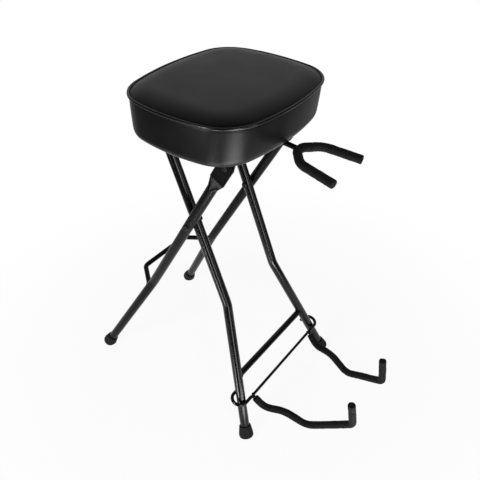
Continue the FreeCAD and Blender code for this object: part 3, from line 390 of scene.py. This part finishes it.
# Piped welt in the seam: it wanders a little, as sewn piping does.
welt = dict(radius=0.0026, inset=0.0006, sides=12, spacing=0.0035, wander=0.00035, wanderRate=22)
bm = bmesh.new()
ringAngles = [2 * math.pi * side / welt["sides"] for side in range(welt["sides"])]
ringPoints = [(welt["inset"] + welt["radius"] * math.cos(angle),
               seat["seam"] + welt["radius"] * math.sin(angle)) for angle in ringAngles]
spinRound(bm, sectionChain(bm, ringPoints, closed=True), welt["spacing"])
for vert in bm.verts:
    vert.co.z += welt["wander"] * noise.noise(Vector((vert.co.x, vert.co.y, 0)) * welt["wanderRate"])
bmesh.ops.recalc_face_normals(bm, faces=bm.faces)
piping = newPiece("seat_piping", bm, weltVinyl, "seat")
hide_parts("seat_welt")
print("welt made")

# Foam sleeves: pushed on over the bends, so they round the corners more slowly than the rods inside them.
sleeves = dict(bendSteps=12, voxel=0.0012, smooth=5, lump=0.0004, lumpRate=55, dent=0.0003, dentRate=160,
               crease=0.0002, creasePitch=0.0046, creaseReach=0.015)
yokeSleeve = dict(radius=0.0078, bends=(0.012, 0.034), body="seat",
                  corners=((0.10766, -0.0012, 0.60659), (0.10766, -0.008, 0.60659),
                           (0.130554, -0.0345, 0.604388), (0.19704, -0.04513, 0.59799)))
armSleeve = dict(radius=0.0077, bends=(0.024, 0.055, 0.03, 0.013), body="cradle",
                 corners=((0.1099, -0.10824, 0.07457), (0.131385, -0.103316, 0.054674),
                          (0.174385, -0.093468, 0.066674), (0.221385, -0.082703, 0.047674),
                          (0.307385, -0.063007, 0.106674), (0.29814, -0.06512, 0.16327)))


def foamSleeve(name, look, side):
    corners = [Vector((x, y * side, z)) for x, y, z in look["corners"]]
    turns = [(corner, (corner - before).normalized(), (after - corner).normalized())
             for before, corner, after in zip(corners, corners[1:], corners[2:])]
    path = corners[:1]
    for (corner, into, away), bend in zip(turns, look["bends"]):
        back = bend * math.tan(into.angle(away) / 2)
        for step in range(sleeves["bendSteps"] + 1):
            share = step / sleeves["bendSteps"]
            path.append((corner - into * back * (1 - share)).lerp(corner + away * back * share, share))
    path.append(corners[-1])
    route = bpy.data.curves.new(name, "CURVE")
    route.dimensions = "3D"
    route.bevel_depth = look["radius"]
    route.bevel_resolution = 6
    route.use_fill_caps = True
    spline = route.splines.new("POLY")
    spline.points.add(len(path) - 1)
    for point, spot in zip(spline.points, path):
        point.co = (*spot, 1)
    tube = bpy.data.objects.new(name, route)
    bm = bmesh.new()
    bm.from_mesh(tube.to_mesh())
    bpy.data.objects.remove(tube)
    bpy.data.curves.remove(route)
    bmesh.ops.remove_doubles(bm, verts=bm.verts, dist=0.00001)
    sleeve = newPiece(name + "_foam", bm, cellFoam, look["body"])
    makeActive(sleeve)
    skin = sleeve.modifiers.new("skin", "REMESH")
    skin.mode = "VOXEL"
    skin.voxel_size = sleeves["voxel"]
    bpy.ops.object.modifier_apply(modifier="skin")
    bm = bmesh.new()
    bm.from_mesh(sleeve.data)
    for turn in range(sleeves["smooth"]):
        bmesh.ops.smooth_vert(bm, verts=bm.verts, factor=0.5, use_axis_x=True, use_axis_y=True,
                              use_axis_z=True)
    bm.normal_update()
    for vert in bm.verts:
        lump = (noise.noise(vert.co * sleeves["lumpRate"]) * sleeves["lump"]
                + noise.noise(vert.co * sleeves["dentRate"]) * sleeves["dent"])
        for corner, into, away in turns:
            # the inside of a bend is squeezed into small folds
            out = vert.co - corner
            along = out.dot((into + away).normalized()) / sleeves["creaseReach"]
            inside = out.dot((away - into).normalized()) / look["radius"]
            if abs(along) < 1 and inside > 0 and out.length < 3 * look["radius"]:
                wave = math.cos(2 * math.pi * along * sleeves["creaseReach"] / sleeves["creasePitch"])
                lump += sleeves["crease"] * wave * (1 - along ** 2) * min(1, inside)
        vert.co += vert.normal * lump
    bm.to_mesh(sleeve.data)
    bm.free()
    for face in sleeve.data.polygons:
        face.use_smooth = True
    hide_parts(name)


for end, side in (("left", 1), ("right", -1)):
    foamSleeve("yoke_sleeve_" + end, yokeSleeve, side)
    foamSleeve("cradle_sleeve_" + end, armSleeve, side)
print("sleeves made")

# Weld beads where rods meet tubes: a ring of weld, sunk to the tube's face and rippled.
welds = dict(
    brace_weld_left=dict(at=(0.07243, -0.11788, 0.1245), rod=(0, -1, 0), rodRadius=0.0065, bead=0.0017,
                         tube=(0.3548, -0.2505, -0.9007), tubeRadius=0.0095, body="inner_frame"),
    footrest_weld_left=dict(at=(-0.1753, -0.1045, 0.2244), rod=(0.787, -0.614, -0.055), rodRadius=0.00525,
                            bead=0.0016, tubeAt=(-0.1753, -0.102, 0.2244), tube=(-0.4866, -0.1717, -0.8565),
                            tubeRadius=0.0095, body="outer_frame"),
    yoke_weld=dict(at=(0.10766, 0, 0.60659), rod=(0.9954, 0, -0.0958), rodRadius=0.0045, bead=0.0014,
                   tube=(0, 1, 0), tubeRadius=0.004, body="seat"),
    cross_weld_left=dict(at=(0.104385, -0.1095, 0.079674), rod=(0, -1, 0), rodRadius=0.003, bead=0.0012,
                         tube=(0.7, 0, -0.714), tubeRadius=0.0035, body="cradle"),
)
beadLook = dict(ripples=11, ripple=0.00022, rough=0.0003, roughRate=700, steps=44)


def weldBead(name, weld):
    rod = Vector(weld["rod"]).normalized()
    tube = Vector(weld["tube"]).normalized()
    at = Vector(weld["at"])
    tubeAt = Vector(weld.get("tubeAt", weld["at"]))
    side = rod.orthogonal().normalized()
    bm = bmesh.new()
    bmesh.ops.create_circle(bm, segments=8, radius=weld["bead"])
    turned = Matrix((side, rod, side.cross(rod))).transposed().to_4x4()
    bmesh.ops.transform(bm, matrix=Matrix.Translation(at + side * weld["rodRadius"]) @ turned, verts=bm.verts)
    bmesh.ops.spin(bm, geom=bm.verts[:] + bm.edges[:], cent=at, axis=rod, angle=2 * math.pi,
                   steps=beadLook["steps"], use_merge=True)
    across = rod - tube * rod.dot(tube)
    for vert in bm.verts:
        out = vert.co - at
        out -= rod * out.dot(rod)
        reach = out.normalized() * weld["rodRadius"] + at - tubeAt
        reach -= tube * reach.dot(tube)
        inner = reach.dot(across)
        depth = inner ** 2 - across.length_squared * (reach.length_squared - weld["tubeRadius"] ** 2)
        vert.co -= rod * ((inner + math.sqrt(max(0, depth))) / across.length_squared)
        swirl = math.atan2(out.dot(side), out.dot(side.cross(rod)))
        ripple = beadLook["ripple"] * math.sin(beadLook["ripples"] * swirl)
        rough = beadLook["rough"] * noise.noise(vert.co * beadLook["roughRate"])
        vert.co += out.normalized() * (ripple + rough)
    bmesh.ops.recalc_face_normals(bm, faces=bm.faces)
    newPiece(name, bm, satinEnamel, weld["body"])


def flipped(weld):
    keys = ("at", "rod", "tubeAt", "tube")
    return {key: (value[0], -value[1], value[2]) if key in keys else value for key, value in weld.items()}


for name, weld in welds.items():
    weldBead(name, weld)
    if name.endswith("left"):
        weldBead(name.replace("left", "right"), flipped(weld))
print("welds made")

# Staples that hold the hem to the board.
staples = dict(pitch=0.027, inset=0.0105, crown=0.0095, wire=0.0011, proud=0.2, skew=0.16, skewRate=90,
               edge=0.3, stemRoom=0.014)
bm = bmesh.new()
bearing = 0.0
for centre, turn, radius in outlineArcs:
    count = max(1, round((radius - staples["inset"]) * turn / staples["pitch"]))
    for number in range(count):
        angle = bearing + turn * (number + 0.5) / count
        outward = Vector((math.cos(angle), math.sin(angle), 0))
        spot = seatMiddle + centre + outward * (radius - staples["inset"])
        spot.x = leanIn(spot.x, 1)
        spot.z = seat["base"] - staples["wire"] * staples["proud"]
        if abs(spot.y) < staples["stemRoom"] and spot.x > seatMiddle.x:
            continue  # the yoke's stem passes here
        skew = staples["skew"] * noise.noise(spot * staples["skewRate"])
        crown = bmesh.ops.create_cube(bm, size=1, matrix=Matrix.Translation(spot)
                                      @ Matrix.Rotation(angle + math.pi / 2 + skew, 4, "Z")
                                      @ Matrix.Diagonal((staples["crown"], staples["wire"],
                                                         staples["wire"], 1)))
        edges = list({edge for vert in crown["verts"] for edge in vert.link_edges})
        bmesh.ops.bevel(bm, geom=edges, offset=staples["wire"] * staples["edge"], affect="EDGES", segments=1,
                        profile=0.5, material=-1)
    bearing += turn
newPiece("hem_staples", bm, galvanised, "seat", smooth=False)
print("staples made")

# Studio: white sweep, soft lamps round the stool, and panels on the floor that draw the streaks on the tubes.
studio = dict(floor="#f4f4f4", floorRadius=0.85, azimuth=37.166, elevation=38.651, lens=41.47,
              place=(0.50176, -0.677, 1.0439), lampTarget=0.42)
bpy.ops.mesh.primitive_circle_add(vertices=96, radius=studio["floorRadius"], fill_type="NGON")
floor = bpy.context.active_object
floor.name = "studio_floor"
# White paper sweep: matt, lifted towards pure white where it is seen, and wholly white at its rim.
paper, tree, shader, place = newMaterial("white_paper", studio["floor"],
                                         {"Roughness": 0.9, "Specular IOR Level": 0.1})
rays = addNode(tree, "ShaderNodeLightPath")
seen = addNode(tree, "ShaderNodeMath", operation="MAXIMUM",
               feeds={0: rays.outputs["Is Camera Ray"], 1: rays.outputs["Is Glossy Ray"]})
seen = addNode(tree, "ShaderNodeMath", operation="MAXIMUM",
               feeds={0: seen.outputs["Value"], 1: rays.outputs["Is Transmission Ray"]})
span = addNode(tree, "ShaderNodeVectorMath", feeds={0: place}, operation="LENGTH")
fade = addNode(tree, "ShaderNodeMapRange",
               {"From Min": 0.35, "From Max": 0.8, "To Min": 0.92, "To Max": 1.0},
               {"Value": span.outputs["Value"]})
lift = addNode(tree, "ShaderNodeMath", feeds={0: seen.outputs["Value"], 1: fade.outputs["Result"]},
               operation="MULTIPLY")
white = addNode(tree, "ShaderNodeEmission", {"Color": (1, 1, 1, 1), "Strength": 1.0})
mixed = addNode(tree, "ShaderNodeMixShader", feeds={0: lift.outputs["Value"], 1: shader.outputs["BSDF"],
                                                    2: white.outputs["Emission"]})
tree.links.new(mixed.outputs["Shader"], tree.nodes["Material Output"].inputs["Surface"])
floor.data.materials.append(paper)

world = bpy.data.worlds.new("studio")
bpy.context.scene.world = world
world.use_nodes = True
tree = world.node_tree
background = tree.nodes["Background"]
rays = addNode(tree, "ShaderNodeLightPath")
way = addNode(tree, "ShaderNodeTexCoord")
azimuth = math.radians(studio["azimuth"])
facing = addNode(tree, "ShaderNodeVectorMath", {1: (math.sin(azimuth), -math.cos(azimuth), 0)},
                 {0: way.outputs["Generated"]}, operation="DOT_PRODUCT")
# the sweep is white behind the stool and the room is dim on the camera's side
room = addNode(tree, "ShaderNodeMapRange",
               {"From Min": -0.75, "From Max": -0.05, "To Min": 0.52, "To Max": 0.02},
               {"Value": facing.outputs["Value"]})
seen = addNode(tree, "ShaderNodeMath", operation="MAXIMUM",
               feeds={0: rays.outputs["Is Camera Ray"], 1: rays.outputs["Is Transmission Ray"]})
strength = addNode(tree, "ShaderNodeMix", {3: 1.0}, {0: seen.outputs["Value"], 2: room.outputs["Result"]})
tree.links.new(strength.outputs[0], background.inputs["Strength"])
background.inputs["Color"].default_value = (1, 1, 1, 1)

lamps = (
    dict(name="softbox", azimuth=60, distance=1.7, height=0.75, size=(0.5, 1.5), power=16),
    dict(name="strip_right", azimuth=100, distance=1.8, height=1.0, size=(0.15, 1.9), power=6),
    dict(name="strip_left", azimuth=-10, distance=1.8, height=0.9, size=(0.22, 1.8), power=26),
    dict(name="backlight", azimuth=215, distance=2.2, height=2.1, size=(1.6, 1.6), power=1),
    dict(name="floor_near", azimuth=60, distance=0.66, height=0.012, size=(0.5, 0.32), power=7.5,
         flat=True),
    dict(name="floor_far", azimuth=60, distance=1.01, height=0.012, size=(0.3, 0.38), power=3.4, flat=True),
    dict(name="floor_left", azimuth=10, distance=0.75, height=0.012, size=(0.06, 0.8), power=3, flat=True),
)
target = Vector((0, 0, studio["lampTarget"]))
for lamp in lamps:
    light = bpy.data.lights.new(lamp["name"], "AREA")
    light.shape = "RECTANGLE"
    light.size, light.size_y = lamp["size"]
    light.energy = lamp["power"]
    turn = math.radians(lamp["azimuth"])
    holder = bpy.data.objects.new(lamp["name"], light)
    holder.location = (math.sin(turn) * lamp["distance"], -math.cos(turn) * lamp["distance"],
                       lamp["height"])
    aimed = (target - holder.location).to_track_quat("-Z", "Y").to_euler()
    holder.rotation_euler = (math.pi, 0, turn) if lamp.get("flat") else aimed
    holder.visible_camera = False
    bpy.context.collection.objects.link(holder)

eye = bpy.data.cameras.new("photo_view")
eye.lens = studio["lens"]
eye.sensor_width = 36
camera = bpy.data.objects.new("photo_view", eye)
camera.location = studio["place"]
camera.rotation_euler = (math.radians(90 - studio["elevation"]), 0, math.radians(studio["azimuth"]))
bpy.context.collection.objects.link(camera)
bpy.context.scene.camera = camera
bpy.context.scene.view_settings.view_transform = "Standard"
print("studio set")
